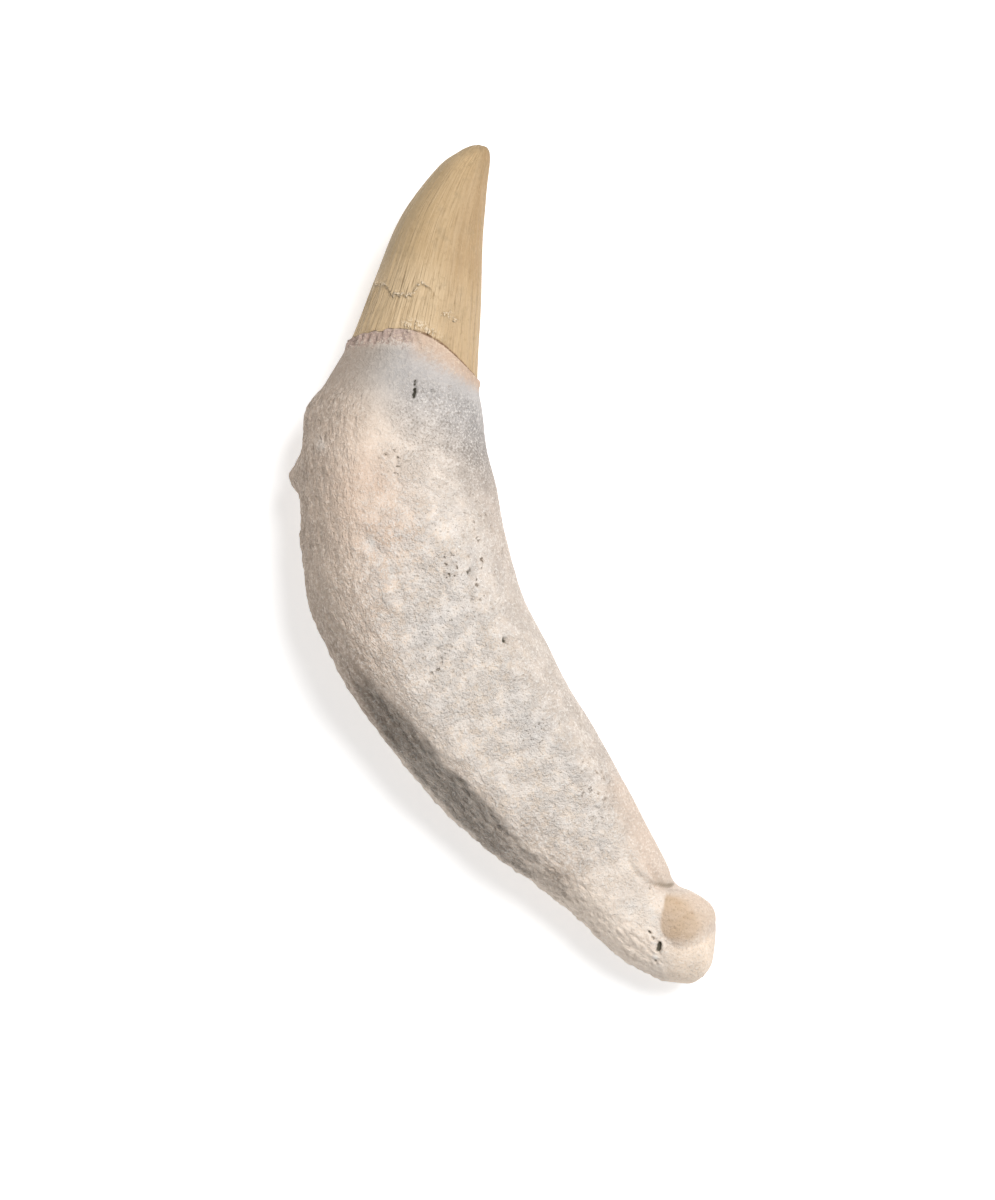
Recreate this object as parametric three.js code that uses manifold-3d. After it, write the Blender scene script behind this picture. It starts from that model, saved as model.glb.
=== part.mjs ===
// A fossil dolphin tooth lying on its side: a conical enamel crown on a swollen, curved root, in one solid.
// Millimetres, +Z up. The crown points along +Y, the bulging side faces -X and the tooth rests on z = 0.
import * as THREE from 'three';
import * as BufferGeometryUtils from 'three/addons/utils/BufferGeometryUtils.js';
import Module from 'manifold-3d';

// The tooth's sections, from the crown tip to the root end. Each one runs straight across the tooth as seen
// from above, from its left edge to its right edge. low and high are its lowest and highest levels.
// crest is where the upper face breaks into the left flank, from 0 in the middle to 1 at the left edge, and
// rings is how many rings of the surface lie between the section and the next.
const SECTIONS = [
  { left: [8.45, 29.95], right: [8.45, 29.95], low: 6.6, high: 6.6, crest: 1, rings: 2 },
  { left: [7.8, 30.0], right: [9.0, 29.55], low: 6.15, high: 7.05, crest: 1, rings: 2 },
  { left: [6.95, 29.8], right: [8.95, 28.7], low: 5.7, high: 7.5, crest: 1, rings: 3 },
  { left: [5.28, 29.08], right: [8.25, 26.85], low: 4.9, high: 8.3, crest: 1, rings: 4 },
  { left: [2.05, 26.5], right: [7.0, 23.2], low: 4.1, high: 9.0, crest: 1, rings: 5 },
  { left: [-1.0, 22.5], right: [5.7, 18.7], low: 3.1, high: 9.6, crest: 1, rings: 6 },
  { left: [-3.4, 19.2], right: [4.3, 14.3], low: 2.2, high: 10.1, crest: 1, rings: 4 },
  { left: [-5.8, 16.8], right: [4.1, 12.4], low: 1.2, high: 10.8, crest: 1, rings: 4 },
  { left: [-7.9, 14.5], right: [3.8, 10.2], low: 0.5, high: 11.4, crest: 1, rings: 6 },
  { left: [-9.75, 8.3], right: [3.55, 5.2], low: 0.0, high: 12.1, crest: 0.9, rings: 6 },
  { left: [-10.7, 1.5], right: [3.45, 0.3], low: -0.2, high: 12.4, crest: 0.72, rings: 6 },
  { left: [-9.0, -6.1], right: [4.55, -5.2], low: -0.2, high: 11.9, crest: 0.58, rings: 6 },
  { left: [-5.5, -13.6], right: [6.15, -11.5], low: 0.1, high: 10.6, crest: 0.52, rings: 4 },
  { left: [-3.25, -17.5], right: [7.1, -15.0], low: 0.2, high: 9.6, crest: 0.56, rings: 4 },
  { left: [-0.45, -20.7], right: [7.75, -18.1], low: 0.3, high: 8.7, crest: 0.64, rings: 4 },
  { left: [1.65, -23.55], right: [8.6, -21.1], low: 0.3, high: 7.8, crest: 0.74, rings: 4 },
  { left: [2.7, -25.3], right: [9.0, -23.1], low: 0.1, high: 7.2, crest: 0.78, rings: 4 },
  { left: [3.6, -26.7], right: [10.05, -24.0], low: -0.1, high: 7.0, crest: 0.8, rings: 4 },
  { left: [4.6, -27.85], right: [10.85, -25.0], low: -0.2, high: 6.9, crest: 0.8, rings: 4 },
  { left: [5.6, -28.7], right: [10.95, -26.3], low: 0.1, high: 6.8, crest: 0.82, rings: 4 },
  { left: [6.45, -29.45], right: [10.65, -27.6], low: 0.5, high: 6.5, crest: 0.86, rings: 3 },
  { left: [7.45, -29.95], right: [10.3, -28.6], low: 1.0, high: 5.9, crest: 0.9, rings: 2 },
  { left: [8.2, -30.2], right: [9.95, -29.25], low: 1.8, high: 5.0, crest: 0.95, rings: 2 },
  { left: [9.15, -30.0], right: [9.15, -30.0], low: 3.4, high: 3.4, crest: 1, rings: 0 },
];
const COLUMNS = 46;

// The gum line, where the enamel dips under the rim of the root. It lies at one section and arches towards
// the crown on the upper and lower faces.
const GUM_SECTION = 6;
const GUM_ARCH = 0.42;
const GUM_ARCH_REACH = 1.3;
const GUM_STEP = 0.25;
const GUM_STEP_RUN = 0.04;
const GUM_LIP = 0.35;

// The flattened upper face and the steep flank left of it, along the lower root
const FLANK_TILT = THREE.MathUtils.degToRad(57);
const FACE_TILT = THREE.MathUtils.degToRad(5);
const FACE_LEVEL = 0.86;
const FACE_LEVEL_UNCUT = 1.1;
const FACE_GAIN = 3.2;
const CUT_SOFTNESS = 0.15;

// Single features. Places are seen from above, and heights are along the surface's outward direction.
const NUB = { at: [-9.3, 10.9, 4.6], reach: [0.9, 1.15, 1.6], height: 1.15 };
const DOME = { at: [8.65, -25.7], stretch: [0.4, 0.62], flatWithin: 0.48, endsAt: 1.73, height: 0.27 };
const RIDGE = { route: [[6.9, -15.5], [7.6, -18.5], [8.3, -21.9]], reach: 0.75, height: 0.22 };
const CREASE = {
  route: [[6.2, -20.7], [6.5, -21.55], [7.15, -22.35], [8.1, -22.9], [9.4, -23.3]],
  reach: 0.3,
  depth: 0.4,
};
const GROOVE = { at: [8.65, -25.7], stretch: 0.65, radius: 1.72, startsBelow: [0.1, 0.9], reach: 0.3, depth: 0.12 };
const SWELL_HEIGHT = 0.1;
const FOLD_HEIGHT = 0.06;
const HOLLOW = { route: [[-5.9, 5.7], [-4.8, 3.7], [-4.4, 0.7]], reach: 0.6, depth: 0.18 };
const PITS = [
  { at: [0.0, 14.42, 10.5], size: [0.24, 1.2, 1.2], turn: -16 },
  { at: [6.5, -26.9, 6.6], size: [0.35, 0.8, 1.6], turn: 12 },
  { at: [6.3, -25.8, 6.7], size: [0.3, 0.5, 1.0], turn: 30 },
  { at: [1.65, -3.6, 10.9], size: [0.3, 0.4, 1.2], turn: 0 },
];

const clamp = THREE.MathUtils.clamp;
const smoothstep = THREE.MathUtils.smoothstep;

// A bell that is 1 at 0 and falls off over the given reach
const bell = (distance, reach) => Math.exp(-((distance / reach) ** 2));

// How far a value stands past a limit, rounded off where it meets the limit
const pastLimit = (excess, softness) => softness * Math.log1p(Math.exp(clamp(excess / softness, -40, 40)));

// Distance from a place to a route of straight stretches, both seen from above
function distanceToRoute(x, y, route) {
  let nearest = Infinity;
  for (let i = 0; i + 1 < route.length; i += 1) {
    const [ax, ay] = route[i];
    const [dx, dy] = [route[i + 1][0] - ax, route[i + 1][1] - ay];
    const t = clamp(((x - ax) * dx + (y - ay) * dy) / (dx * dx + dy * dy), 0, 1);
    nearest = Math.min(nearest, Math.hypot(x - ax - t * dx, y - ay - t * dy));
  }
  return nearest;
}

// Smooth curves through the sections' edges and levels
const curveThrough = (pick) => new THREE.CatmullRomCurve3(SECTIONS.map(pick), false, 'catmullrom', 0.5);
const leftEdge = curveThrough((section) => new THREE.Vector3(...section.left, 0));
const rightEdge = curveThrough((section) => new THREE.Vector3(...section.right, 0));
const levels = curveThrough((section) => new THREE.Vector3(section.low, section.high, section.crest));

// The lower root's section is an ellipse cut back to a nearly flat upper face and a steep left flank.
// offset is towards the left edge and rise is above the widest level.
function cutBack(offset, rise, halfWidth, halfHeight, crest) {
  const [flankX, flankZ] = [Math.sin(FLANK_TILT), Math.cos(FLANK_TILT)];
  const flankLimit = crest * halfWidth * flankX + FACE_LEVEL * halfHeight * flankZ;
  const flank = pastLimit(offset * flankX + rise * flankZ - flankLimit, CUT_SOFTNESS);
  const [faceX, faceZ] = [-Math.sin(FACE_TILT), Math.cos(FACE_TILT)];
  const faceShare = clamp(FACE_GAIN * (1 - crest), 0, 1);
  const faceLimit = THREE.MathUtils.lerp(FACE_LEVEL_UNCUT, FACE_LEVEL, faceShare) * halfHeight;
  const face = pastLimit(offset * faceX + rise * faceZ - faceLimit, CUT_SOFTNESS);
  return [offset - flank * flankX - face * faceX, rise - flank * flankZ - face * faceZ];
}

// Raised and sunken features, as a height above the plain surface
function relief(point, place, angle) {
  const fromGum = place - GUM_SECTION;
  const upper = smoothstep(Math.sin(angle), 0.05, 0.4);
  const lip = GUM_STEP * smoothstep(fromGum, 0, GUM_STEP_RUN) * Math.exp(-Math.max(0, fromGum) / GUM_LIP);
  const nubDistance = Math.hypot(
    (point.x - NUB.at[0]) / NUB.reach[0],
    (point.y - NUB.at[1]) / NUB.reach[1],
    (point.z - NUB.at[2]) / NUB.reach[2],
  );
  const nub = NUB.height * bell(nubDistance, 1);
  const [domeX, domeY] = [point.x - DOME.at[0], point.y - DOME.at[1]];
  const fromDome = Math.hypot(
    domeX > 0 ? DOME.stretch[0] * domeX : domeX,
    domeY > 0 ? DOME.stretch[1] * domeY : domeY,
  );
  const dome = DOME.height * upper * (1 - smoothstep(fromDome, DOME.flatWithin, DOME.endsAt));
  const ridge = RIDGE.height * upper * bell(distanceToRoute(point.x, point.y, RIDGE.route), RIDGE.reach);
  const crease = -CREASE.depth * upper * bell(distanceToRoute(point.x, point.y, CREASE.route), CREASE.reach);
  const [grooveX, grooveY] = [point.x - GROOVE.at[0], point.y - GROOVE.at[1]];
  const fromCentre = Math.hypot(grooveX > 0 ? GROOVE.stretch * grooveX : grooveX, grooveY);
  const below = smoothstep(-grooveY, ...GROOVE.startsBelow);
  const groove = -GROOVE.depth * upper * below * bell(fromCentre - GROOVE.radius, GROOVE.reach);
  const hollow = -HOLLOW.depth * upper * bell(distanceToRoute(point.x, point.y, HOLLOW.route), HOLLOW.reach);
  return lip + nub + dome + ridge + crease + groove + hollow + lumps(point, fromGum);
}

// Slow swells all over the root, and closer bark-like folds along its left flank
function lumps(point, fromGum) {
  const root = smoothstep(fromGum, 0.3, 2);
  const swell = Math.sin(0.9 * point.x + 0.5 * point.y + 1) * Math.sin(0.7 * point.y - 0.8 * point.z + 2);
  const across = 0.86 * point.x + 0.5 * point.y;
  const bend = 1.3 * Math.sin(0.9 * point.y);
  const fold = Math.sin(3.1 * across + bend) * Math.sin(1.1 * point.y + 0.8 * point.z);
  const flank = smoothstep(-across, 3.5, 6.5) * smoothstep(-point.y, -4, 4);
  return root * (SWELL_HEIGHT * swell + FOLD_HEIGHT * fold * flank);
}

// A point of the surface, at a place along the sections and an angle from the right edge over the top
function surfacePoint(place, angle) {
  const arch = GUM_ARCH * bell(place - GUM_SECTION, GUM_ARCH_REACH) * Math.sin(angle) ** 2;
  const t = clamp(place - arch, 0, SECTIONS.length - 1) / (SECTIONS.length - 1);
  const [left, right, level] = [leftEdge.getPoint(t), rightEdge.getPoint(t), levels.getPoint(t)];
  const middle = left.clone().lerp(right, 0.5);
  const toLeft = left.clone().sub(right).multiplyScalar(0.5);
  const halfWidth = toLeft.length();
  const halfHeight = (level.y - level.x) / 2;
  toLeft.divideScalar(halfWidth);
  const [alongWidth, alongHeight] = [-Math.cos(angle) * halfWidth, Math.sin(angle) * halfHeight];
  const [offset, rise] = cutBack(alongWidth, alongHeight, halfWidth, halfHeight, level.z);
  const point = middle.addScaledVector(toLeft, offset);
  point.z = (level.x + level.y) / 2 + rise;
  const outward = toLeft.multiplyScalar(-Math.cos(angle) / halfWidth);
  outward.z = Math.sin(angle) / halfHeight;
  outward.normalize();
  const fade = smoothstep(halfWidth, 0.3, 1.2);
  return point.addScaledVector(outward, fade * relief(point, place, angle));
}

// Rings along the tooth, closer together where the sections are, with a close pair at the gum line's step
function ringPlaces() {
  const places = [];
  SECTIONS.forEach((section, index) => {
    for (let ring = 0; ring < section.rings; ring += 1) {
      places.push(index + ring / section.rings);
    }
  });
  places.push(GUM_SECTION + GUM_STEP_RUN);
  return places.filter((place) => place > 0).sort((a, b) => a - b);
}

// The closed body: rings of points joined by triangles, with one point at each end
function bodyGeometry() {
  const places = ringPlaces();
  const points = [new THREE.Vector3(...SECTIONS[0].left, SECTIONS[0].low)];
  for (const place of places) {
    for (let column = 0; column < COLUMNS; column += 1) {
      points.push(surfacePoint(place, (column / COLUMNS) * 2 * Math.PI));
    }
  }
  const end = SECTIONS[SECTIONS.length - 1];
  points.push(new THREE.Vector3(...end.left, end.low));
  const vertex = (ring, column) => 1 + ring * COLUMNS + (column % COLUMNS);
  const lastRing = places.length - 1;
  const triangles = [];
  for (let column = 0; column < COLUMNS; column += 1) {
    triangles.push(0, vertex(0, column + 1), vertex(0, column));
    triangles.push(points.length - 1, vertex(lastRing, column), vertex(lastRing, column + 1));
    for (let ring = 0; ring + 1 < places.length; ring += 1) {
      triangles.push(vertex(ring, column), vertex(ring, column + 1), vertex(ring + 1, column + 1));
      triangles.push(vertex(ring, column), vertex(ring + 1, column + 1), vertex(ring + 1, column));
    }
  }
  const geometry = new THREE.BufferGeometry().setFromPoints(points);
  geometry.setIndex(triangles);
  return geometry;
}

// A pit's cutter: a sphere stretched to the pit's width, length and depth and turned about the vertical
function pitGeometry(pit) {
  const geometry = new THREE.SphereGeometry(0.5, 10, 8);
  geometry.scale(...pit.size);
  geometry.rotateZ(THREE.MathUtils.degToRad(pit.turn));
  geometry.translate(...pit.at);
  return geometry;
}

// Everything below the table, which leaves the flat spot that the tooth rests on
function belowTableGeometry() {
  const geometry = new THREE.BoxGeometry(80, 80, 10);
  geometry.translate(0, 0, -5);
  return geometry;
}

const wasm = await Module();
wasm.setup();

function toSolid(geometry) {
  const bare = geometry.clone();
  bare.deleteAttribute('normal');
  bare.deleteAttribute('uv');
  const merged = BufferGeometryUtils.mergeVertices(bare, 1e-5);
  const mesh = new wasm.Mesh({
    numProp: 3,
    vertProperties: new Float32Array(merged.attributes.position.array),
    triVerts: new Uint32Array(merged.index.array),
  });
  return new wasm.Manifold(mesh);
}

function toGeometry(solid) {
  const mesh = solid.getMesh();
  const geometry = new THREE.BufferGeometry();
  geometry.setAttribute('position', new THREE.BufferAttribute(mesh.vertProperties, 3));
  geometry.setIndex(new THREE.BufferAttribute(mesh.triVerts, 1));
  geometry.computeVertexNormals();
  return geometry;
}

function toothGeometry() {
  let solid = toSolid(bodyGeometry()).subtract(toSolid(belowTableGeometry()));
  for (const pit of PITS) {
    solid = solid.subtract(toSolid(pitGeometry(pit)));
  }
  return toGeometry(solid);
}

const rootCream = new THREE.MeshStandardMaterial({ color: 0xd9c8b6, roughness: 0.75, metalness: 0 });
const tooth = new THREE.Mesh(toothGeometry(), rootCream);
tooth.name = 'tooth';

const group = new THREE.Group();
group.name = 'fossil_dolphin_tooth';
group.add(tooth);

export default group;
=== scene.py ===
import itertools

import bpy
import numpy as np
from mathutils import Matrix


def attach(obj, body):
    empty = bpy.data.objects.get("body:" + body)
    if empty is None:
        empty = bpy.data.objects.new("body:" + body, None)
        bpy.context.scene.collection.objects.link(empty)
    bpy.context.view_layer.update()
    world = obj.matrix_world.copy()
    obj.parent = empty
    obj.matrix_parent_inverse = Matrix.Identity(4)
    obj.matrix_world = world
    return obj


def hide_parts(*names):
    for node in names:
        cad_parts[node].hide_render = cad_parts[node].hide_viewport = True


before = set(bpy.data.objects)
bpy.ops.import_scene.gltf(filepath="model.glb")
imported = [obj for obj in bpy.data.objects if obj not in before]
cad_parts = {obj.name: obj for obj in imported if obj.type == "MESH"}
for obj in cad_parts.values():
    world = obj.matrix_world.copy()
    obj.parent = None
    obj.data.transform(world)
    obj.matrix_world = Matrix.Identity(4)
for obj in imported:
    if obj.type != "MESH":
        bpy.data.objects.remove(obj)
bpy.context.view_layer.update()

# The tooth's form.
# The fossil is one piece: a crown of tan enamel on a swollen, curved root of dentine with a skin of cementum,
# which narrows to a hooked knob. Each row is a section across it: left edge, right edge, lowest and highest
# level in millimetres, and where the upper face breaks into the left flank (1 means nowhere).
MM = 0.001
SECTIONS = np.array([
    [8.45, 29.95, 8.45, 29.95, 6.6, 6.6, 1],
    [7.8, 30.0, 9.0, 29.55, 6.15, 7.05, 1],
    [6.95, 29.8, 8.95, 28.7, 5.7, 7.5, 1],
    [5.28, 29.08, 8.25, 26.85, 4.9, 8.3, 1],
    [2.05, 26.5, 7.0, 23.2, 4.1, 9.0, 1],
    [-1.0, 22.5, 5.7, 18.7, 3.1, 9.6, 1],
    [-3.4, 19.2, 4.3, 14.3, 2.2, 10.1, 1],
    [-5.8, 16.8, 4.1, 12.4, 1.2, 10.8, 1],
    [-7.9, 14.5, 3.8, 10.2, 0.5, 11.4, 1],
    [-9.75, 8.3, 3.55, 5.2, 0.0, 12.1, 0.9],
    [-10.7, 1.5, 3.45, 0.3, -0.2, 12.4, 0.72],
    [-9.0, -6.1, 4.55, -5.2, -0.2, 11.9, 0.58],
    [-5.5, -13.6, 6.15, -11.5, 0.1, 10.6, 0.52],
    [-3.25, -17.5, 7.1, -15.0, 0.2, 9.6, 0.56],
    [-0.45, -20.7, 7.75, -18.1, 0.3, 8.7, 0.64],
    [1.65, -23.55, 8.6, -21.1, 0.3, 7.8, 0.74],
    [2.7, -25.3, 9.0, -23.1, 0.1, 7.2, 0.78],
    [3.6, -26.7, 10.05, -24.0, -0.1, 7.0, 0.8],
    [4.6, -27.85, 10.85, -25.0, -0.2, 6.9, 0.8],
    [5.6, -28.7, 10.95, -26.3, 0.1, 6.8, 0.82],
    [6.45, -29.45, 10.65, -27.6, 0.5, 6.5, 0.86],
    [7.45, -29.95, 10.3, -28.6, 1.0, 5.9, 0.9],
    [8.2, -30.2, 9.95, -29.25, 1.8, 5.0, 0.95],
    [9.15, -30.0, 9.15, -30.0, 3.4, 3.4, 1],
])
LAST_SECTION = len(SECTIONS) - 1
RINGS, COLUMNS = 436, 226
CROWDING_ON_TOP = 0.45
CROWDED_STRETCHES = [(-1.0, 3.5, 1.2), (45.0, 4.0, 0.7)]
STRAIGHT_RADIUS = 5.0

GUM_SECTION = 6
GUM_ARCH, GUM_ARCH_REACH = 0.42, 1.3
GUM_STEP, GUM_STEP_RUN, GUM_LIP = 0.25, 0.04, 0.35

FLANK_TILT = np.radians(57)
FACE_TILT = np.radians(5)
FACE_LEVEL, FACE_LEVEL_UNCUT, FACE_GAIN = 0.86, 1.1, 3.2
CREST_SOFTNESS, CREST_SOFTNESS_AT_KNOB, FACE_SOFTNESS = 0.09, 0.3, 0.15
CREST_SOFTENS = (11.7, 13.6)
CREST_RAGGEDNESS = 0.4
NEARLY_NOTHING = 1e-6
FINE_PLACES = 4000
SLOPES = 4096
SCATTER_X, SCATTER_Y, SCATTER_Z = 73856093, 19349663, 83492791


def through_sections(rows, place):
    """A smooth curve through the rows at the whole places: each value mixes the four nearest rows by the
    Catmull-Rom weights. Beyond each end the next row is mirrored in the end row."""
    padded = np.vstack([2 * rows[0] - rows[1], rows, 2 * rows[-1] - rows[-2]])
    first = np.clip(np.floor(place).astype(int), 0, len(rows) - 2)
    t = (place - first)[..., None]
    before, start, end, after = (padded[first + step] for step in range(4))
    linear_part = (end - before) * t
    square_part = (2 * before - 5 * start + 4 * end - after) * t**2
    cube_part = (3 * start - before - 3 * end + after) * t**3
    return start + 0.5 * (linear_part + square_part + cube_part)


def rise_between(value, low, high):
    """0 below low, 1 above high, and 3t^2 - 2t^3 of the share t between them."""
    t = np.clip((value - low) / (high - low), 0, 1)
    return t * t * (3 - 2 * t)


def bell(distance, reach):
    """1 at no distance, falling off as e to the minus the square of distance over reach."""
    return np.exp(-((distance / reach) ** 2))


def past_limit(excess, softness):
    """The excess over a limit, rounded where it meets it: softness times ln(1 + e^(excess / softness))."""
    return softness * np.logaddexp(0, excess / softness)


def distance_to_route(x, y, route):
    """The least distance, seen from above, to a route of straight stretches between its points."""
    nearest = np.full(np.shape(x), np.inf)
    for (ax, ay), (bx, by) in zip(route[:-1], route[1:]):
        dx, dy = bx - ax, by - ay
        t = np.clip(((x - ax) * dx + (y - ay) * dy) / (dx**2 + dy**2), 0, 1)
        nearest = np.minimum(nearest, np.hypot(x - ax - t * dx, y - ay - t * dy))
    return nearest


def rolling_noise(points, seed):
    """Smooth random heights, mostly from -0.5 to 0.5, one bump to a unit of space. Every whole-number corner
    has a random slope, and a point mixes the slopes of the eight corners round it by 6t^5 - 15t^4 + 10t^3."""
    slopes = np.random.default_rng(seed).normal(size=(SLOPES, 3))
    slopes /= np.linalg.norm(slopes, axis=1, keepdims=True)
    corner = np.floor(points).astype(np.int64)
    inside = points - corner
    weight = inside**3 * (inside * (inside * 6 - 15) + 10)
    height = np.zeros(points.shape[:-1])
    for step in itertools.product((0, 1), repeat=3):
        x, y, z = np.moveaxis(corner + step, -1, 0)
        slope = slopes[(x * SCATTER_X ^ y * SCATTER_Y ^ z * SCATTER_Z) % SLOPES]
        share = np.prod(np.where(step, weight, 1 - weight), axis=-1)
        height += share * np.sum(slope * (inside - step), axis=-1)
    return height


def along_sections():
    """Places close together along the sections, and the distance travelled along the tooth up to each: the
    mean of the distances along its two edges."""
    fine = np.linspace(0, LAST_SECTION, FINE_PLACES)
    edges = through_sections(SECTIONS[:, :4], fine).reshape(-1, 2, 2)
    steps = np.linalg.norm(np.diff(edges, axis=0), axis=2).mean(axis=1)
    return fine, np.concatenate([[0], np.cumsum(steps)])


def plain_surface(place, angle, straight):
    """The tooth before its relief, for places along the sections and angles from the right edge over the top.
    A section is an ellipse, middle - half width * cos(angle) towards the left and half height * sin(angle)
    up, cut back softly to a tilted upper face and a steep left flank with a ragged crest. Near the gum line
    the sections arch towards the crown with the square of sin(angle). Returns the points, their outward
    directions, how much relief they take, and how far they are on the flank."""
    arch = GUM_ARCH * bell(place - GUM_SECTION, GUM_ARCH_REACH) * np.sin(angle) ** 2
    values = through_sections(SECTIONS, np.clip(place - arch, 0, LAST_SECTION))
    left, right = values[..., :2], values[..., 2:4]
    low, high, crest = np.moveaxis(values[..., 4:], -1, 0)
    half_width = np.maximum(np.linalg.norm(left - right, axis=-1) / 2, NEARLY_NOTHING)
    half_height = np.maximum((high - low) / 2, NEARLY_NOTHING)
    to_left = (left - right) / 2 / half_width[..., None]
    offset = -np.cos(angle) * half_width
    rise = np.sin(angle) * half_height
    ragged = rolling_noise(straight * (0.3, 0.22, 0.3), 41)
    ragged = ragged + 0.6 * rolling_noise(straight * (0.9, 0.6, 0.9), 42)
    flank_limit = crest * half_width * np.sin(FLANK_TILT) + FACE_LEVEL * half_height * np.cos(FLANK_TILT)
    flank_limit = flank_limit + CREST_RAGGEDNESS * ragged
    softening = rise_between(place, *CREST_SOFTENS)
    softness = CREST_SOFTNESS + (CREST_SOFTNESS_AT_KNOB - CREST_SOFTNESS) * softening
    flank = past_limit(offset * np.sin(FLANK_TILT) + rise * np.cos(FLANK_TILT) - flank_limit, softness)
    face_share = np.clip(FACE_GAIN * (1 - crest), 0, 1)
    face_limit = (FACE_LEVEL_UNCUT + (FACE_LEVEL - FACE_LEVEL_UNCUT) * face_share) * half_height
    face = past_limit(rise * np.cos(FACE_TILT) - offset * np.sin(FACE_TILT) - face_limit, FACE_SOFTNESS)
    offset = offset - flank * np.sin(FLANK_TILT) + face * np.sin(FACE_TILT)
    rise = rise - flank * np.cos(FLANK_TILT) - face * np.cos(FACE_TILT)
    level = (low + high) / 2 + rise
    points = np.dstack([(left + right) / 2 + offset[..., None] * to_left, level])
    outward = np.dstack([-to_left * (np.cos(angle) / half_width)[..., None], np.sin(angle) / half_height])
    outward /= np.linalg.norm(outward, axis=-1, keepdims=True)
    return points, outward, rise_between(half_width, 0.3, 1.2), rise_between(flank, 0.05, 0.4)


# The gum line and the enamel.
# The root's rim laps over the enamel's edge: a clean lip on the right, a beaded band on the left. The enamel
# has fine lengthwise striations, and near its base a thin outer layer has broken away along a ragged ledge.
# The ledge's route and the middle and reach of each chip are in millimetres seen from above.
LEDGE = [(-1.4, 22.9), (-0.9, 22.3), (-0.25, 22.0), (-0.05, 21.7), (0.1, 21.0), (0.35, 21.15), (0.6, 20.95),
         (0.8, 21.05), (1.0, 20.7), (1.25, 20.8), (1.45, 20.7), (1.85, 21.2), (2.3, 21.35), (2.7, 21.0),
         (2.95, 20.3), (3.3, 19.6)]
LEDGE_DEPTH, LEDGE_RUN, LEDGE_RIM = 0.045, 0.25, 0.07
CHIPS = [(3.55, 18.75, 0.3), (3.2, 18.95, 0.22), (3.85, 18.45, 0.24), (2.0, 17.9, 0.25), (0.6, 18.7, 0.3)]
CHIP_DEPTH = 0.09
BEAD_HEIGHT, BEAD_BAND = 0.3, 0.75
STRIA_HEIGHT = 0.018


def upper_share(angle):
    """1 on the upper half of a section and 0 on the lower half, changing softly above the side edges."""
    return rise_between(np.sin(angle), 0.05, 0.4)


def gum_relief(place, from_gum, angle, straight):
    """A lip that starts at the gum line and dies away along the root by an e-fold each 0.35 of a section, and
    beads of noise within a millimetre of the line, strong on the left half and faint on the right."""
    after = rise_between(place - GUM_SECTION, 0, GUM_STEP_RUN)
    lip = GUM_STEP * after * np.exp(-np.maximum(0, place - GUM_SECTION) / GUM_LIP)
    left_half = rise_between(-np.cos(angle), -0.15, 0.2)
    beads = rolling_noise(straight * (2.4, 1.5, 2.4), 11)
    beads = beads + 0.8 * rolling_noise(straight * (4.6, 3.4, 4.6), 12)
    band = after * (1 - rise_between(from_gum, 0.5 * BEAD_BAND, 1.4 * BEAD_BAND))
    return lip * (1 - 0.8 * left_half) + band * BEAD_HEIGHT * (left_half * beads + 0.25 * beads)


def chip_share(points):
    """How chipped the enamel is, from 0 to 1: full in the middle of a chip, with an edge frayed by noise."""
    x, y = points[..., 0], points[..., 1]
    fray = 0.35 * rolling_noise(points * 3.5, 26)
    chips = np.zeros(x.shape)
    for middle_x, middle_y, reach in CHIPS:
        chips += 1 - rise_between(np.hypot(x - middle_x, y - middle_y) + fray, 0.2 * reach, 1.1 * reach)
    return np.minimum(chips, 1)


def enamel_relief(points, from_gum, angle, straight):
    """Ridges along the whole crown, noise stretched about ten times lengthwise and deeper below the ledge and
    near the gum line, the lowered face below the ledge with its raised rim, and shallow chips."""
    enamel = 1 - rise_between(from_gum, -0.1, 0)
    upper = upper_share(angle)
    ledge_x, ledge_y = np.transpose(LEDGE)
    x, y = points[..., 0], points[..., 1]
    beyond = np.interp(x, ledge_x, ledge_y) - y
    in_reach = upper * (1 - rise_between(x, 2.9, 3.5))
    below = rise_between(beyond, 0, LEDGE_RUN)
    rim = LEDGE_RIM * bell(beyond + 0.05, 0.14) * (0.6 + 4 * rolling_noise(points * 3.4, 23))
    ledge = in_reach * (rim - LEDGE_DEPTH * below * np.exp(-np.maximum(beyond, 0) / 1.6))
    rough_part = below * in_reach + 0.7 * rise_between(from_gum, -2.6, -1)
    ridges = rolling_noise(straight * (2.4, 0.24, 2.4), 21)
    ridges = ridges + 0.7 * rolling_noise(straight * (4.6, 0.4, 4.6), 22)
    striae = STRIA_HEIGHT * (2.2 + 5 * np.minimum(rough_part, 1)) * ridges
    chips = chip_share(points) * (0.6 + 3 * rolling_noise(points * 4.2, 24))
    return enamel * (striae + ledge - CHIP_DEPTH * upper * chips)


def chips_and_glints(points, from_gum, angle):
    """Where broken enamel is pale, with painted highlights on its granules, from 0 to 1: on the chips, along
    the ledge and just above the gum line in the middle of the upper face."""
    enamel = 1 - rise_between(from_gum, -0.1, 0)
    x, y = points[..., 0], points[..., 1]
    on_ledge = bell(np.interp(x, *np.transpose(LEDGE)) - y + 0.05, 0.14) * (1 - rise_between(x, 2.4, 3.0))
    above_gum = 0.9 * bell(from_gum + 0.35, 0.3) * bell(x - 1.3, 1.0)
    return enamel * upper_share(angle) * np.minimum(chip_share(points) + on_ledge + above_gum, 1)


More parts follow.
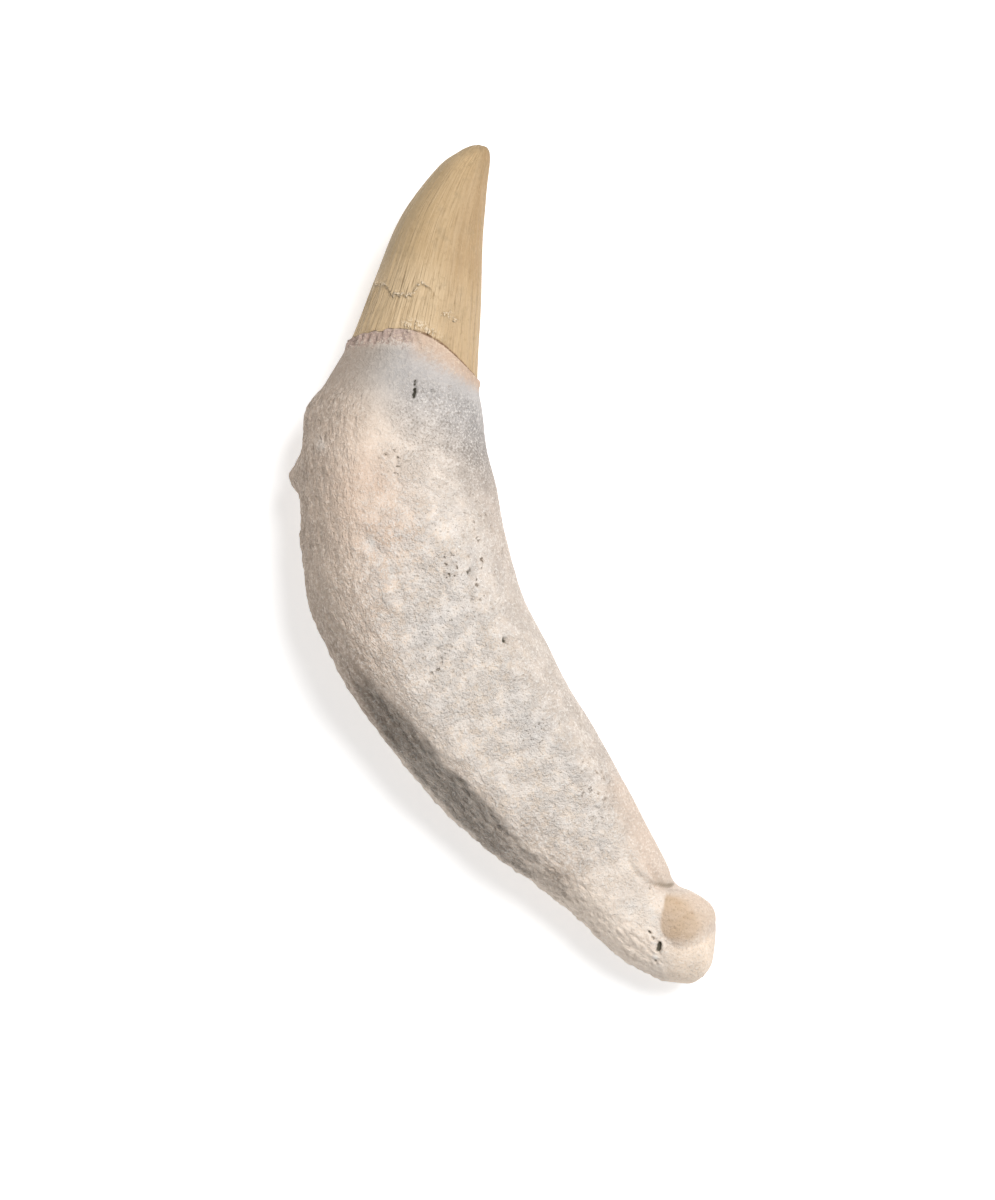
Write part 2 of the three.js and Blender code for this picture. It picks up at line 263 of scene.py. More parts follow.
# The root's skin.
# Cementum grows in thin layers, so it is softly swollen all over. The left flank is folded like bark along
# the tooth, the right edge is drawn out in long faint streaks, and a small nub stands low on the left. The
# shaft lies between the belly and the knob, and its ranges count sections.
SHAFT_BEGINS, SHAFT_ENDS = (8.5, 10.3), (11.7, 13.3)
NUB_PLACE, NUB_REACH, NUB_HEIGHT = (-9.3, 10.9, 4.6), (0.9, 1.15, 1.6), 1.15
HOLLOW_ROUTE, HOLLOW_REACH, HOLLOW_DEPTH = [(-5.9, 5.7), (-4.8, 3.7), (-4.4, 0.7)], 0.4, 0.17
SWELL_HEIGHT, FOLD_HEIGHT = 0.1, 0.03
BARK_HEIGHT, STREAK_HEIGHT, CRUMB_HEIGHT, LUMP_HEIGHT = 0.24, 0.09, 0.042, 0.22


def root_swells(points, place):
    """Slow swells all over the root, a product of two waves, and closer folds on the lower left flank."""
    x, y, z = np.moveaxis(points, -1, 0)
    root = rise_between(place - GUM_SECTION, 0.3, 2)
    swell = np.sin(0.9 * x + 0.5 * y + 1) * np.sin(0.7 * y - 0.8 * z + 2)
    across = 0.86 * x + 0.5 * y
    folds = np.sin(3.1 * across + 1.3 * np.sin(0.9 * y)) * np.sin(1.1 * y + 0.8 * z)
    flank = rise_between(-across, 3.5, 6.5) * rise_between(-y, -4, 4)
    return root * (SWELL_HEIGHT * swell + FOLD_HEIGHT * folds * flank)


def nub_relief(points):
    """A bump that falls off as a bell of the distance to its place, each direction over its own reach."""
    return NUB_HEIGHT * bell(np.linalg.norm((points - NUB_PLACE) / NUB_REACH, axis=-1), 1)


def bark_share(place, angle, on_flank, smooth):
    """How bark-like the skin is, from 0 to 1: partly on the left half and below it, and fully on the flank of
    the shaft. The knob's smooth parts have little of it."""
    left_side = rise_between(-np.cos(angle), 0.1, 0.75)
    below_too = 0.6 * rise_between(-np.sin(angle), -0.2, 0.5)
    folded = 0.6 * np.maximum(left_side, below_too) * (1 - 0.5 * rise_between(place, 12, 14))
    root = rise_between(place - GUM_SECTION, 0.6, 1.6)
    shaft = rise_between(place, *SHAFT_BEGINS) * (1 - 0.6 * rise_between(place, *SHAFT_ENDS))
    return root * np.maximum(folded, on_flank * shaft) * (1 - 0.8 * smooth)


def bark_plates(straight):
    """Plates of bark parted by cracks: 0 where wide noise stretched along the tooth crosses zero, a third
    where narrow noise does, rising steeply to 1. Both are read at places that wander by a slower noise."""
    wander = 0.6 * rolling_noise(straight * 0.45, 30)[..., None]
    wide = np.abs(rolling_noise((straight + wander) * (0.75, 0.2, 0.75), 31))
    narrow = np.abs(rolling_noise((straight - wander) * (1.7, 0.42, 1.7), 37))
    return np.minimum(7 * np.minimum(wide, 0.3 * narrow + 0.05), 1)


def skin_relief(points, place, angle, straight, bark, smooth):
    """The plates, thin ridges and crumbs of the bark, long streaks on the right edge, a shallow diagonal
    hollow with a raised side, crumbs that are coarser on the shaft, and lumps parted by creases left of the
    knob. Where the knob is smooth, crumbs and lumps fade."""
    root = rise_between(place - GUM_SECTION, 0.05, 0.5)
    ridges = 0.5 - 2 * np.abs(rolling_noise(straight * (1.7, 0.6, 1.7), 32))
    fine = rolling_noise(straight * (2.6, 1.3, 2.6), 33) + 0.8 * rolling_noise(straight * (4.6, 2.6, 4.6), 38)
    folds = BARK_HEIGHT * bark * (0.45 * bark_plates(straight) + 0.6 * ridges + 1.1 * fine)
    right_side = rise_between(np.cos(angle), 0.45, 0.8) * rise_between(place, 7.5, 9.0)
    streaks = STREAK_HEIGHT * right_side * rolling_noise(straight * (1.7, 0.13, 1.7), 34)
    away = distance_to_route(points[..., 0], points[..., 1], HOLLOW_ROUTE)
    beside = distance_to_route(points[..., 0] + 0.7, points[..., 1] + 0.35, HOLLOW_ROUTE)
    hollow = upper_share(angle) * HOLLOW_DEPTH * (bell(away, HOLLOW_REACH) - 0.8 * bell(beside, HOLLOW_REACH))
    crumbs = rolling_noise(points * 1.3, 35) + 0.9 * rolling_noise(points * 2.4, 36)
    crumbly = (1 - 0.8 * right_side) * (0.2 + 0.8 * rise_between(place, 8.8, 11.8)) * (1 - 0.7 * smooth)
    lumpy = rise_between(place, 11.3, 12.8) * rise_between(-np.cos(angle), -0.1, 0.5) * (1 - smooth)
    lumps = np.abs(rolling_noise(points * (1.7, 1.3, 1.7), 46)) + 0.7 * rolling_noise(points * 2.8, 47)
    return root * (folds + streaks - hollow + CRUMB_HEIGHT * crumbly * crumbs + LUMP_HEIGHT * lumpy * lumps)


# The knob at the root end.
# The root tip is closed. A smooth ridge on the right ends in a crease under the knob, a dome of bare tan
# dentine shows on the knob, and below it, past curved growth lines, a smooth lip has a chipped rim. A growth
# line has a radius, a reach and a depth, and a pit a short line seen from above, a reach and a depth.
CREASE_ROUTE = [(6.2, -20.7), (6.38, -21.2), (6.49, -21.56), (6.81, -22.0), (7.15, -22.34), (7.57, -22.62),
                (8.07, -22.9), (8.79, -23.15), (9.4, -23.3)]
CREASE_REACH, CREASE_BANK, CREASE_DEPTH = 0.24, 0.1, 0.38
RIDGE_ROUTE, RIDGE_REACH, RIDGE_HEIGHT = [(6.9, -15.5), (7.6, -18.5), (8.3, -21.9)], 0.75, 0.22
LOBE_ROUTE, LOBE_REACH, LOBE_HEIGHT = [(6.8, -21.2), (7.25, -22.0)], 0.3, 0.12
VALLEY_ROUTE, VALLEY_REACH, VALLEY_DEPTH = [(7.3, -21.3), (7.55, -21.9), (7.7, -22.6)], 0.2, 0.24
DOME_PLACE, DOME_RADIUS, DOME_HEIGHT = (8.65, -25.7), 1.6, 0.27
DOME_STRETCH = (0.4, 0.85)
GROWTH_STRETCH = 0.65
GROWTH_LINES = [(1.72, 0.16, 0.11), (1.5, 0.08, 0.03), (1.9, 0.06, 0.05), (2.1, 0.09, 0.04)]
RIM_ROUTE = [(10.3, -26.7), (10.04, -27.4), (9.75, -28.1), (9.2, -28.8), (8.7, -29.2)]
RIM_REACH, RIM_DEPTH = 0.1, 0.1
PITS = [
    ((0.16, 14.95), (0.05, 14.55), 0.06, 0.35),
    ((0.03, 14.4), (-0.19, 13.9), 0.09, 0.5),
    ((6.19, -25.62), (6.3, -25.74), 0.1, 0.26),
    ((6.38, -26.05), (6.42, -26.2), 0.1, 0.2),
    ((6.7, -26.65), (6.5, -27.05), 0.16, 0.34),
    ((6.1, -27.72), (6.12, -27.8), 0.09, 0.2),
    ((8.72, -25.3), (8.75, -25.34), 0.09, 0.14),
    ((9.35, -25.2), (9.38, -25.23), 0.08, 0.14),
    ((8.6, -24.2), (8.63, -24.24), 0.08, 0.11),
    ((7.95, -25.75), (7.97, -25.85), 0.07, 0.11),
    ((1.62, -3.55), (1.68, -3.68), 0.12, 0.4),
    ((6.16, -20.35), (6.1, -20.6), 0.08, 0.14),
    ((7.08, -22.64), (7.12, -22.72), 0.1, 0.2),
    ((-2.46, 9.6), (-2.32, 9.62), 0.12, 0.2),
    ((-2.99, 10.5), (-2.97, 10.6), 0.1, 0.18),
    ((0.41, 1.45), (0.58, 1.62), 0.11, 0.22),
    ((-1.2, 1.65), (-1.2, 1.8), 0.1, 0.2),
    ((-0.85, 2.16), (-0.8, 2.2), 0.1, 0.15),
    ((1.06, 14.03), (1.1, 13.95), 0.09, 0.15),
    ((0.22, -0.21), (0.2, -0.45), 0.1, 0.18),
]


def from_dome_middle(x, y):
    """Distance from the dome's middle, shortened on its right and upper sides, where it runs to the edge."""
    dx, dy = x - DOME_PLACE[0], y - DOME_PLACE[1]
    return np.hypot(np.where(dx > 0, DOME_STRETCH[0], 1) * dx, np.where(dy > 0, DOME_STRETCH[1], 1) * dy)


def dome_share(points):
    """How bare the dentine is, from 0 to 1: within the dome, with a clear edge on its left, fading towards
    the right and below."""
    x, y = points[..., 0], points[..., 1]
    to_right = (x - DOME_PLACE[0]) + 0.3 * (y - DOME_PLACE[1])
    below = DOME_PLACE[1] - y
    soft = 0.2 + 1.9 * rise_between(to_right, -0.2, 1.8) + 0.9 * rise_between(below, 0.2, 1.5)
    reach = DOME_RADIUS + 0.06 + 0.5 * rise_between(-below, 0.4, 1.6) * rise_between(to_right, -0.8, 0.2)
    return 1 - rise_between(from_dome_middle(x, y), reach - soft - 0.06, reach)


def smooth_knob(points):
    """1 on the smooth ridge, the dome and the lip, and 0 on the rough skin, with uneven edges."""
    x, y = points[..., 0], points[..., 1]
    uneven = 0.8 * rolling_noise(points * 0.9, 44)
    on_ridge = 1 - rise_between(distance_to_route(x, y, RIDGE_ROUTE) + uneven, 0.3, 1.6)
    on_lip = rise_between(x - 0.3 * y + 0.8 * uneven, 14.6, 16.2) * rise_between(-y, 25.5, 26.5)
    on_dome = 1 - rise_between(from_dome_middle(x, y), DOME_RADIUS - 0.1, DOME_RADIUS + 0.05)
    return np.maximum(np.maximum(on_ridge, on_lip), on_dome)


def knob_relief(points, angle):
    """Ridge, lobe and valley are bells of the distance to their routes. The crease is a bell too, steeper on
    the ridge's side. The dome is a smooth step of the distance to its middle, the growth lines are bells
    round ovals below it, and the rim's line is a bell of the distance to its route."""
    x, y = points[..., 0], points[..., 1]
    upper = rise_between(np.sin(angle), 0.0, 0.3)
    crease_x, crease_y = np.transpose(CREASE_ROUTE)
    crease_side = np.where(y > np.interp(x, crease_x, crease_y), CREASE_BANK, CREASE_REACH)
    deeper_right = 0.2 + 0.8 * rise_between(x, 6.9, 8.2)
    crease = -CREASE_DEPTH * deeper_right * bell(distance_to_route(x, y, CREASE_ROUTE), crease_side)
    ridge = RIDGE_HEIGHT * bell(distance_to_route(x, y, RIDGE_ROUTE), RIDGE_REACH)
    lobe = LOBE_HEIGHT * bell(distance_to_route(x, y, LOBE_ROUTE), LOBE_REACH)
    valley = -VALLEY_DEPTH * bell(distance_to_route(x, y, VALLEY_ROUTE), VALLEY_REACH)
    from_middle = from_dome_middle(x, y)
    dome = DOME_HEIGHT * (1 - rise_between(from_middle, 0.3 * DOME_RADIUS, 1.08 * DOME_RADIUS))
    dx, dy = x - DOME_PLACE[0], y - DOME_PLACE[1]
    from_centre = np.hypot(np.where(dx > 0, GROWTH_STRETCH, 1) * dx, dy)
    from_centre = from_centre + 0.1 * rolling_noise(points * 1.2, 45)
    below = rise_between(-dy, 0.1, 0.9)
    growth = -below * sum(depth * bell(from_centre - radius, reach) for radius, reach, depth in GROWTH_LINES)
    rim = -RIM_DEPTH * bell(distance_to_route(x, y, RIM_ROUTE), RIM_REACH)
    return upper * (crease + ridge + lobe + valley + dome + growth + rim)


def crease_shade(points):
    """How much painted shade falls in the crease, from 0 to 1: a thin bell of the distance to it with a soft
    one above it, full on the right and faint on the left."""
    x, y = points[..., 0], points[..., 1]
    away = distance_to_route(x, y, CREASE_ROUTE)
    above = rise_between(y - np.interp(x, *np.transpose(CREASE_ROUTE)), 0, 0.1)
    return (bell(away, 0.11) + 0.35 * above * bell(away, 0.5)) * (0.15 + 0.85 * rise_between(x, 7.0, 8.0))


def pit_share(points, angle):
    """How deep in a pit each point lies, in millimetres: a pit is a flat-bottomed bell round a short line,
    with edges frayed by noise."""
    x, y = points[..., 0], points[..., 1]
    fray = 0.12 * rolling_noise(points * 5.5, 43)
    depth = np.zeros(x.shape)
    for start, end, reach, deepest in PITS:
        away = np.maximum(distance_to_route(x, y, [start, end]) + fray, 0)
        depth = np.maximum(depth, deepest * np.exp(-((away / reach) ** 4)))
    return upper_share(angle) * depth


# The colour fields.
# Where the fossil is grey, pink, pored, pale or tan, and where shade and light are painted on it, is kept on
# the mesh as smooth fields, and the material breaks them up. Places are in millimetres seen from above:
# centre, reach along x and y, and strength.
GREY_PLACES = [
    ((-2.6, -1.6), (2.4, 2.4), 0.8), ((1.6, -8.6), (1.6, 2.2), 0.75), ((2.4, -10.6), (1.3, 1.6), 0.7),
    ((4.2, -15.6), (1.5, 2.0), 0.5), ((0.8, 1.6), (2.0, 3.0), 0.5), ((5.9, -15.0), (0.7, 1.4), 0.3),
    ((3.4, -12.8), (1.2, 1.6), 0.5), ((4.4, -19.0), (1.3, 1.8), 0.3), ((-3.8, -6.5), (1.4, 2.4), 0.4),
    ((0.6, 5.6), (1.6, 2.4), 0.35), ((5.6, -22.5), (1.2, 1.2), 0.4),
]
PINK_PLACES = [
    ((-5.4, 8.8), (2.6, 4.6), 0.9), ((-6.6, 1.0), (2.4, 5.0), 0.5), ((-3.4, 6.4), (2.2, 3.4), 0.5),
    ((7.6, -19.4), (1.0, 3.0), 0.9), ((3.2, 4.6), (0.9, 5.0), 0.6), ((6.9, -14.6), (1.0, 3.0), 0.5),
]
PIT_PLACES = [
    ((0.0, 1.9), (2.2, 1.3), 1.0), ((-2.6, 10.0), (0.9, 0.9), 0.8), ((2.3, 13.2), (0.8, 1.0), 0.4),
    ((0.4, -0.3), (0.6, 0.9), 1.0), ((1.9, 4.6), (1.3, 2.6), 0.45), ((-3.2, -4.0), (1.0, 1.4), 0.6),
    ((5.0, -14.5), (1.5, 3.0), 0.45),
]
PALE_AND_LIT_PLACES = [
    # The place at (6.9, -28.3) is painted light on the lip's left part; the others are pale flakes.
    ((6.23, -27.45), (0.2, 0.28), 1.0), ((6.4, -26.5), (0.14, 0.16), 1.0), ((6.9, -28.3), (1.1, 0.7), 0.3),
    ((-5.5, 5.0), (0.35, 0.5), 0.8), ((-4.6, 2.9), (0.2, 0.6), 0.8), ((-7.2, 12.4), (0.3, 0.4), 0.5),
    ((5.4, -23.6), (0.7, 0.6), 0.6), ((6.6, -24.6), (0.5, 1.0), 0.4),
]
TAN_PLACES = [
    ((-4.6, 13.9), (2.0, 2.0), 0.5), ((-7.8, 5.0), (1.2, 5.0), 0.2), ((-2.6, -13.9), (1.0, 1.4), 0.4),
    ((0.2, -17.0), (1.2, 1.4), 0.4), ((2.6, -19.8), (1.5, 1.5), 0.35), ((5.2, -22.9), (1.2, 0.9), 0.2),
    ((0.8, -20.2), (1.2, 1.2), 0.5), ((-3.9, -11.3), (0.8, 1.3), 0.4), ((-8.5, -2.6), (0.9, 1.6), 0.5),
]


def colour_field(points, places):
    """The sum of bells round the places, each over its own reach in x and y, held to at most 1."""
    x, y = points[..., 0], points[..., 1]
    total = np.zeros(x.shape)
    for (middle_x, middle_y), (reach_x, reach_y), strength in places:
        total += strength * bell(np.hypot((x - middle_x) / reach_x, (y - middle_y) / reach_y), 1)
    return np.minimum(total, 1)


def stain_below_gum(from_gum, angle):
    """The grey stain of the root below the gum line: full at 1.2 millimetres from it, fading from 2 to 5.4 on
    the left and from 2.8 to 8.6 on the right."""
    rightness = rise_between(np.cos(angle), -0.6, 0.8)
    fading = rise_between(from_gum, 2.0 + 0.8 * rightness, 5.4 + 3.2 * rightness)
    return rise_between(from_gum, 0.2, 1.2) * (1 - fading)


def brown_and_shade_share(points, from_gum, angle, on_flank):
    """How brown the skin is, with painted shade, from 0 to 1: painted shade towards the left edge, on the
    upper side gone at 30 millimetres from the gum line, the brown of the tan places, and on the flank brown
    with painted shade, where it fades from 21 to 27 millimetres and half returns towards the knob."""
    on_top = rise_between(np.sin(angle), -0.5, 0.2)
    shaded_edge = 0.78 * rise_between(-np.cos(angle), 0.12, 1) * (1 - rise_between(from_gum, 24, 30) * on_top)
    places = colour_field(points, TAN_PLACES) * upper_share(angle)
    along_flank = 1 - 0.9 * rise_between(from_gum, 21, 27) + 0.45 * rise_between(from_gum, 31, 36)
    return np.maximum(shaded_edge + (1 - shaded_edge) * places, on_flank * along_flank)


def sandy_share(from_gum, angle):
    """How sandy the skin is, from 0 to 1: on the right half of the belly, full from 3.5 to 6.5 millimetres
    beyond the gum line and gone at 12."""
    right_half = rise_between(np.cos(angle), -0.25, 0.25)
    return right_half * rise_between(from_gum, 1.2, 3.5) * (1 - rise_between(from_gum, 6.5, 12))


def right_edge_shade_share(from_gum, angle):
    """How much painted shade darkens the right edge of the root: 1 at 4.5 millimetres beyond the gum line,
    falling to a half along the shaft."""
    shaded_edge = rise_between(np.cos(angle), 0.35, 0.95)
    return shaded_edge * (0.5 + 0.5 * bell(from_gum - 4.5, 5))


def coarse_share(from_gum, angle):
    """How coarse the root's skin is, from 0 to 1: fine under the gum line and towards both edges, coarse on
    top of the shaft, and half as coarse on the knob."""
    start = 0.2 + 0.8 * rise_between(from_gum + 4 * np.cos(angle), 3, 20)
    sides = 0.5 * rise_between(np.cos(angle), 0.2, 0.95) + 0.6 * rise_between(-np.cos(angle), 0.1, 0.7)
    return start * (1 - sides) * (1 - 0.5 * rise_between(from_gum, 36, 42))


# The tooth itself.
# The fossil is one solid piece, so it is one closed skin: rings along the tooth and a point at each end,
# flattened where it rests on the table.
def tooth_grid():
    """A grid of places along the tooth, evenly spaced but closer near the gum line and on the knob, with a
    pair at the gum line, and of angles round it that crowd on top: angle = turn + 0.45 cos(turn) for even
    turns. Returns the distances along the tooth too, from its tip and from the gum line."""
    fine, travelled = along_sections()
    beyond_gum = travelled - np.interp(GUM_SECTION, fine, travelled)
    closeness = np.ones(fine.shape)
    for middle, reach, extra in CROWDED_STRETCHES:
        closeness += extra * bell(beyond_gum - middle, reach)
    counted = np.concatenate([[0], np.cumsum(np.diff(travelled) * closeness[1:])])
    place = np.interp(np.linspace(0, counted[-1], RINGS)[1:-1], counted, fine)
    place = np.sort(np.append(place, [GUM_SECTION, GUM_SECTION + GUM_STEP_RUN]))
    turn = np.linspace(0, 2 * np.pi, COLUMNS, endpoint=False)
    place, turn = np.meshgrid(place, turn, indexing="ij")
    angle = turn + CROWDING_ON_TOP * np.cos(turn)
    along = np.interp(place, fine, travelled)
    return place, angle, along, along - np.interp(GUM_SECTION, fine, travelled)


def grid_faces(rings, columns):
    """Four-sided faces between neighbouring rings, and fans of triangles to the first and last vertex."""
    start = 1 + np.arange(rings - 1)[:, None] * columns
    column = np.arange(columns)
    beside = (column + 1) % columns
    following = start + columns
    quads = np.stack([start + column, start + beside, following + beside, following + column], axis=-1)
    last_ring = 1 + (rings - 1) * columns
    first_fan = np.stack([np.zeros(columns, int), 1 + beside, 1 + column], axis=-1)
    last_vertex = np.full(columns, last_ring + columns)
    last_fan = np.stack([last_vertex, last_ring + column, last_ring + beside], axis=-1)
    return quads.reshape(-1, 4).tolist() + first_fan.tolist() + last_fan.tolist()


def with_ends(values, first, last):
    """A grid's values as one list, with the first and the last vertex's value added."""
    return np.concatenate([[first], values.reshape(-1, *np.shape(first)), [last]])


def build_tooth():
    """The surface points moved out by their relief, and the fields that the material reads."""
    place, angle, along, from_gum = tooth_grid()
    straight = np.dstack([STRAIGHT_RADIUS * np.cos(angle), along, STRAIGHT_RADIUS * np.sin(angle)])
    points, outward, fade, on_flank = plain_surface(place, angle, straight)
    smooth = smooth_knob(points)
    bark = bark_share(place, angle, on_flank, smooth)
    on_left = rise_between(-np.cos(angle), 0.2, 0.6)
    from_gum = from_gum + 0.35 * on_left * rolling_noise(straight * (1.1, 0.1, 1.1), 13) * bell(from_gum, 2)
    pits = pit_share(points, angle)
    height = sum([
        gum_relief(place, from_gum, angle, straight),
        enamel_relief(points, from_gum, angle, straight),
        skin_relief(points, place, angle, straight, bark, smooth),
        root_swells(points, place),
        nub_relief(points),
        knob_relief(points, angle),
        -pits,
    ])
    points = points + (fade * height)[..., None] * outward
    points[..., 2] = np.maximum(points[..., 2], 0)
    smooth = smooth_knob(points)
    upper = upper_share(angle)
    mostly_upper = 0.4 + 0.6 * upper
    fields = {
        "from_gum": from_gum,
        "bark": bark,
        "stain": stain_below_gum(from_gum, angle),
        "coarse": coarse_share(from_gum, angle),
        "grey": colour_field(points, GREY_PLACES) * mostly_upper,
        "pink": colour_field(points, PINK_PLACES) * mostly_upper,
        "pitted": colour_field(points, PIT_PLACES) * upper,
        # Pale flakes, and a spot of painted light on the lip.
        "pale": colour_field(points, PALE_AND_LIT_PLACES) * upper,
        "dome": dome_share(points) * upper,
        "smooth": smooth * upper,
        "lip": rise_between(-points[..., 1], 26.6, 27.6),
        # Pit depth, which also sets painted shade in the pits.
        "pit": pits,
        # Where the flank's plates part, which the material darkens with painted shade.
        "crack": on_flank * (1 - bark_plates(straight)) * (1 - rise_between(place, *SHAFT_ENDS)),
        "flank": on_flank * rise_between(place, *SHAFT_BEGINS) * (1 - smooth),
        # Brown, with painted shade on the flank and towards the left edge.
        "brown": brown_and_shade_share(points, from_gum, angle, on_flank) * (1 - smooth),
        "sandy": sandy_share(from_gum, angle) * mostly_upper,
        "right_edge_shade": right_edge_shade_share(from_gum, angle),
        # Where painted shade falls in and above the crease.
        "crease": crease_shade(points) * upper,
        # Pale breaks in the enamel, with painted glints on their granules.
        "chipped": chips_and_glints(points, from_gum, angle),
        "left_side": -np.cos(angle),
    }
    mesh = bpy.data.meshes.new("tooth_skin")
    tip, end = [*SECTIONS[0, :2], SECTIONS[0, 4]], [*SECTIONS[-1, :2], SECTIONS[-1, 4]]
    mesh.from_pydata(with_ends(points, tip, end) * MM, [], grid_faces(*place.shape))
    for name, values in fields.items():
        layer = mesh.attributes.new(name, "FLOAT", "POINT")
        layer.data.foreach_set("value", with_ends(values, values[0, 0], values[-1, 0]).astype(np.float32))
    layer = mesh.attributes.new("straight", "FLOAT_VECTOR", "POINT")
    ends = [0, along[0, 0], 0], [0, along[-1, 0], 0]
    layer.data.foreach_set("vector", with_ends(straight, *ends).astype(np.float32).ravel())
    mesh.polygons.foreach_set("use_smooth", np.ones(len(mesh.polygons), bool))
    mesh.update()
    return mesh


tooth = bpy.data.objects.new("tooth_surface", build_tooth())
bpy.context.scene.collection.objects.link(tooth)


# The finish of enamel and root.
# Enamel is a hard satin skin, the root a matt porous one, and one material holds both because they meet
# without a joint. Colours are the fossil's own, with painted light and shade mixed into some of them, as red,
# green and blue from 0 to 255.
ENAMEL_TAN, ENAMEL_OLIVE_AND_SHADE, ENAMEL_RUST = (197, 168, 127), (168, 146, 113), (180, 150, 112)
ENAMEL_BASE, ENAMEL_PALE = (213, 186, 148), (210, 182, 143)
ENAMEL_DARK, ENAMEL_CHIP_AND_GLINT = (160, 132, 95), (244, 224, 196)
ROOT_CREAM, ROOT_PINK, ROOT_COOL = (252, 235, 218), (240, 213, 191), (245, 238, 232)
ROOT_STAIN, ROOT_STAIN_WITH_SHADE, ROOT_EDGE_SHADE = (194, 189, 186), (170, 164, 157), (162, 152, 145)
ROOT_SANDY, ROOT_FLANK_GLINT, ROOT_FLAKE_AND_LIGHT = (230, 217, 206), (220, 208, 194), (252, 245, 237)
ROOT_BROWN_AND_SHADE, ROOT_CRACK_SHADE = (172, 150, 131), (124, 112, 100)
ROOT_HOLLOW_SHADE, ROOT_SPECK = (188, 173, 159), (136, 122, 105)
COLLAR_PINK, COLLAR_MAUVE, COLLAR_SHADE = (208, 178, 154), (184, 160, 149), (142, 120, 108)
GUM_DARK = (126, 94, 68)
SMOOTH_SKIN, LIP_SKIN = (214, 194, 177), (240, 219, 197)
DENTINE_TAN, DENTINE_PALE = (204, 178, 150), (226, 202, 179)
PIT_BROWN, PIT_SHADE, CREASE_SHADE = (112, 90, 64), (84, 80, 66), (124, 112, 86)
CLUMPS_PER_MM, GRAINS_PER_MM, FIBRES_PER_MM = 3.8, 6.2, 3.2
BUMP_HEIGHT = 0.48 * MM
TOOTH_SPECULAR = 0.3


def shade(colour):
    """A colour given from 0 to 255 as screens show it, turned into the light it stands for."""
    share = np.array(colour) / 255
    light = np.where(share <= 0.04045, share / 12.92, ((share + 0.055) / 1.055) ** 2.4)
    return (*light, 1)


class Nodes:
    """The nodes of one material, added with their settings and inputs in one call."""

    def __init__(self, material):
        self.tree = material.node_tree

    def add(self, kind, inputs, **settings):
        node = self.tree.nodes.new(kind)
        for name, value in settings.items():
            setattr(node, name, value)
        for key, value in inputs.items():
            if isinstance(value, bpy.types.NodeSocket):
                self.tree.links.new(value, node.inputs[key])
            else:
                node.inputs[key].default_value = value
        return node

    def field(self, name, output="Fac"):
        node = self.add("ShaderNodeAttribute", {}, attribute_name=name, attribute_type="GEOMETRY")
        return node.outputs[output]

    def math(self, operation, a, b=0.0):
        return self.add("ShaderNodeMath", {0: a, 1: b}, operation=operation).outputs[0]

    def times(self, a, b):
        return self.math("MULTIPLY", a, b)

    def plus(self, base, value, gain):
        """The base with gain times the value added."""
        return self.math("ADD", base, self.times(value, gain))

    def between(self, value, low, high, to_low=0.0, to_high=1.0):
        """to_low where the value is at low, to_high where it is at high, with an s-curve between them."""
        inputs = {"Value": value, "From Min": low, "From Max": high, "To Min": to_low, "To Max": to_high}
        return self.add("ShaderNodeMapRange", inputs, interpolation_type="SMOOTHSTEP").outputs[0]

    def blend(self, share, a, b):
        """A number between the numbers a and b, which is b where the share is 1."""
        return self.add("ShaderNodeMix", {0: share, 2: a, 3: b}, data_type="FLOAT").outputs[0]

    def mix(self, share, a, b):
        """A colour between the colours a and b, which is b where the share is 1."""
        a, b = (shade(c) if isinstance(c, tuple) else c for c in (a, b))
        return self.add("ShaderNodeMix", {0: share, 6: a, 7: b}, data_type="RGBA").outputs[2]

    def layered(self, colour, *layers):
        """A colour under layers of others, each given as its share and its colour."""
        for share, over in layers:
            colour = self.mix(share, colour, over)
        return colour

    def stretched(self, vector, factors):
        return self.add("ShaderNodeVectorMath", {0: vector, 1: factors}, operation="MULTIPLY").outputs[0]

    def noise(self, vector, scale, detail=2.0, rough=0.5):
        inputs = {"Vector": vector, "Scale": scale, "Detail": detail, "Roughness": rough}
        return self.add("ShaderNodeTexNoise", inputs).outputs["Fac"]


